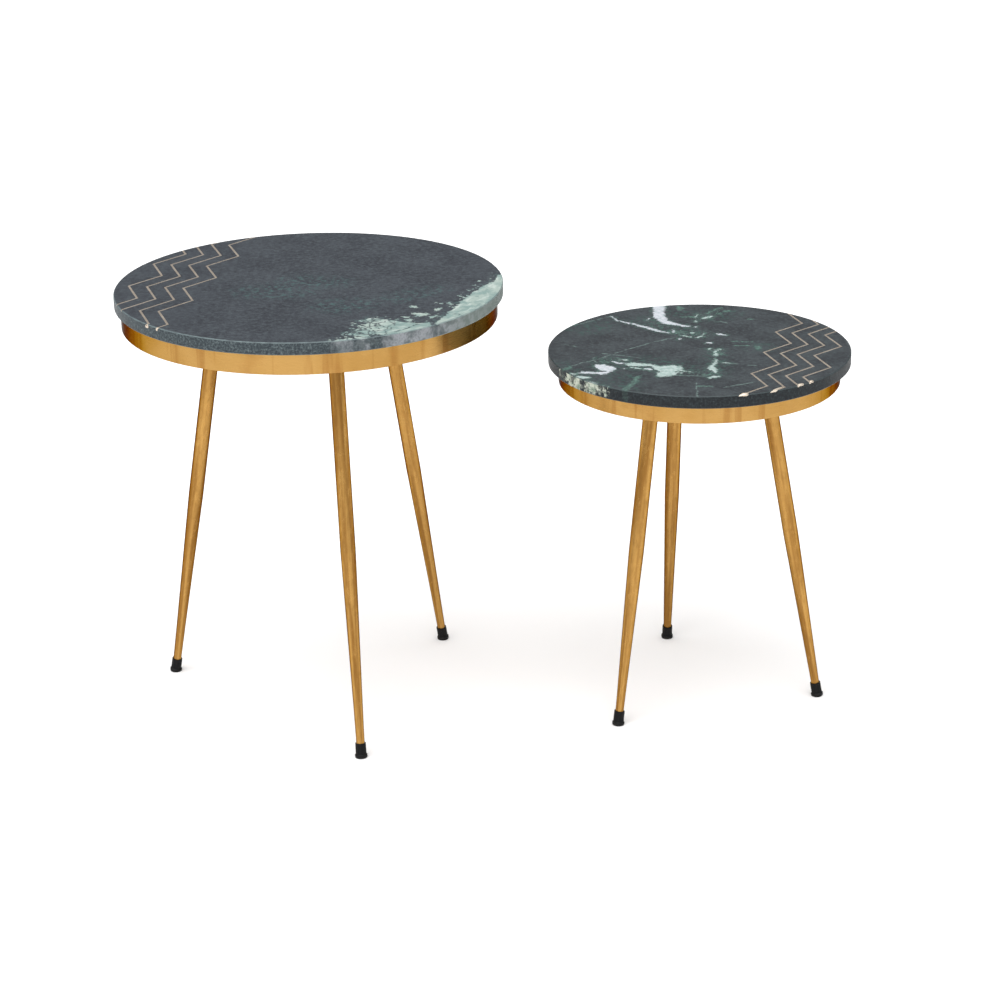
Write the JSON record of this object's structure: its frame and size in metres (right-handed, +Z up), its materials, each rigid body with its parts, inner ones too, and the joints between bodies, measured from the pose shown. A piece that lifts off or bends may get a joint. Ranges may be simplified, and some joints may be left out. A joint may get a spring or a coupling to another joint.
{
  "type": "nesting tables",
  "caption": "Pair of round nesting tables: dark marble tops with zigzag metal inlay, brass-finished apron rings and splayed tapered legs on rubber feet.",
  "frame": {"origin": "on the floor, under the middle of the pair's bounding box at rest, side by side", "axes": "+Z up; +X runs from the large table to the small table; +Y completes the frame, away from the viewer"},
  "size_m": [0.872, 0.46, 0.525],
  "materials": {
    "large_marble": "satin",
    "small_marble": "satin",
    "inlay_brass": "satin",
    "apron_brass": "satin",
    "leg_brass": "satin",
    "frame_brass": "matte",
    "zinc_steel": "satin",
    "fibreboard": "matte",
    "foot_rubber": "matte"
  },
  "bodies": {
    "large_table": {"large_marble_top": "large_marble", "large_inlay_strip_1": "inlay_brass", "large_inlay_strip_2": "inlay_brass", "large_inlay_strip_3": "inlay_brass", "large_inlay_strip_4": "inlay_brass", "large_backing_board": "fibreboard", "large_apron_ring": "apron_brass", "large_spider_plate": "frame_brass", "large_board_screws": "zinc_steel", "large_leg_boss_right": "frame_brass", "large_leg_boss_left": "frame_brass", "large_leg_boss_front": "frame_brass", "large_leg_studs": "zinc_steel", "large_leg_right": "leg_brass", "large_leg_left": "leg_brass", "large_leg_front": "leg_brass", "large_leg_plug_right": "zinc_steel", "large_leg_plug_left": "zinc_steel", "large_leg_plug_front": "zinc_steel", "large_foot_right": "foot_rubber", "large_foot_left": "foot_rubber", "large_foot_front": "foot_rubber"},
    "small_table": {"small_marble_top": "small_marble", "small_inlay_strip_1": "inlay_brass", "small_inlay_strip_2": "inlay_brass", "small_inlay_strip_3": "inlay_brass", "small_inlay_strip_4": "inlay_brass", "small_backing_board": "fibreboard", "small_apron_ring": "apron_brass", "small_spider_plate": "frame_brass", "small_board_screws": "zinc_steel", "small_leg_boss_rear": "frame_brass", "small_leg_boss_left": "frame_brass", "small_leg_boss_right": "frame_brass", "small_leg_studs": "zinc_steel", "small_leg_rear": "leg_brass", "small_leg_left": "leg_brass", "small_leg_right": "leg_brass", "small_leg_plug_rear": "zinc_steel", "small_leg_plug_left": "zinc_steel", "small_leg_plug_right": "zinc_steel", "small_foot_rear": "foot_rubber", "small_foot_left": "foot_rubber", "small_foot_right": "foot_rubber"}
  },
  "joints": [
    {"name": "nest_slide", "type": "slide", "parent": "large_table", "child": "small_table", "axis": [-0.9771, -0.2128, 0], "range_m": [0, 0.247]}
  ]
}
